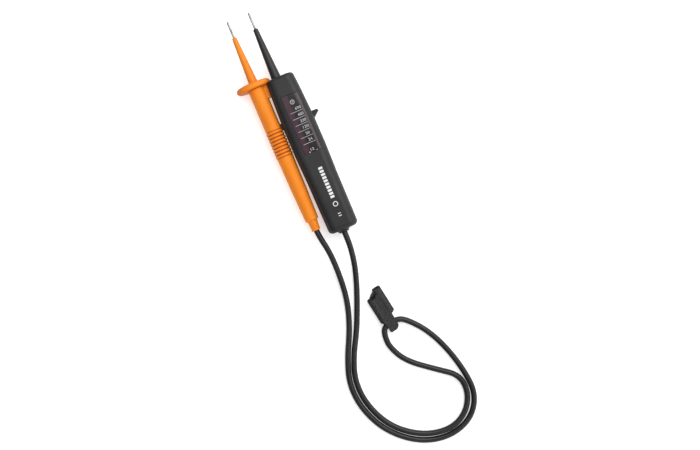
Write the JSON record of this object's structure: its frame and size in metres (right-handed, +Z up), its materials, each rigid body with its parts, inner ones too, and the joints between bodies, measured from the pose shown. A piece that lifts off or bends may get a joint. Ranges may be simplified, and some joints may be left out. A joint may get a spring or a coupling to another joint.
{
  "type": "two-pole voltage tester",
  "caption": "Two-pole voltage tester: handle with an LED scale, docked second probe, joining cord and a twin tube tip cap.",
  "frame": {"origin": "centre of the footprint of the two probes, on the surface that the tester lies on", "axes": "+Y along both probes towards their tips, +X away from the second probe, +Z up out of the display"},
  "size_m": [0.0982, 0.3908, 0.024],
  "materials": {
    "handle_shell": "satin moulded plastic",
    "display_window": "smoked dark red lens",
    "scale_film": "printed film",
    "light_guide": "black",
    "lamps": "clear red",
    "board": "green laminate",
    "chip": "black epoxy",
    "resistors": "lacquered",
    "thermistor": "lacquered",
    "screws": "zinc plated",
    "nose_sleeve": "satin",
    "test_tips": "nickel plated",
    "terminals": "tinned",
    "gland": "matt",
    "clamp": "matt",
    "inner_wire": "insulated wire",
    "lance_plastic": "satin orange moulding",
    "sleeving": "heat shrink",
    "crimp": "plated",
    "cap_plastic": "matt textured vinyl",
    "cord": "satin"
  },
  "bodies": {
    "tester": {"handle_front_shell": "handle_shell", "handle_rear_shell": "handle_shell", "display_window": "display_window", "scale_film": "scale_film", "light_guide": "light_guide", "indicator_leds": "lamps", "circuit_board": "board", "control_chip": "chip", "series_resistors": "resistors", "load_thermistor": "thermistor", "case_screws": "screws", "nose_sleeve": "nose_sleeve", "main_test_tip": "test_tips", "main_tip_terminal": "terminals", "main_tip_lead": "inner_wire", "handle_gland": "gland", "handle_cord_end": "cord", "cord_clamp": "clamp", "handle_inner_lead": "inner_wire", "cord": "cord"},
    "lance": {"lance_nose": "lance_plastic", "lance_barrel": "lance_plastic", "lance_end_sleeve": "lance_plastic", "lance_test_tip": "test_tips", "lance_tip_terminal": "terminals", "lance_resistor": "resistors", "lance_resistor_sleeve": "sleeving", "lance_inner_lead": "inner_wire", "lance_cord_end": "cord", "lance_crimp_ring": "crimp"},
    "cap": {"tip_cap": "cap_plastic"}
  },
  "joints": [
    {"name": "lance_undock", "type": "slide", "parent": "tester", "child": "lance", "axis": [-1, 0, 0], "range_m": [0, 0.015]},
    {"name": "cap_swivel", "type": "hinge", "parent": "tester", "child": "cap", "pos_m": [0.0146, -0.1837, 0.0039], "axis": [0.9877, 0.1564, 0], "range_deg": [0, 100]}
  ]
}
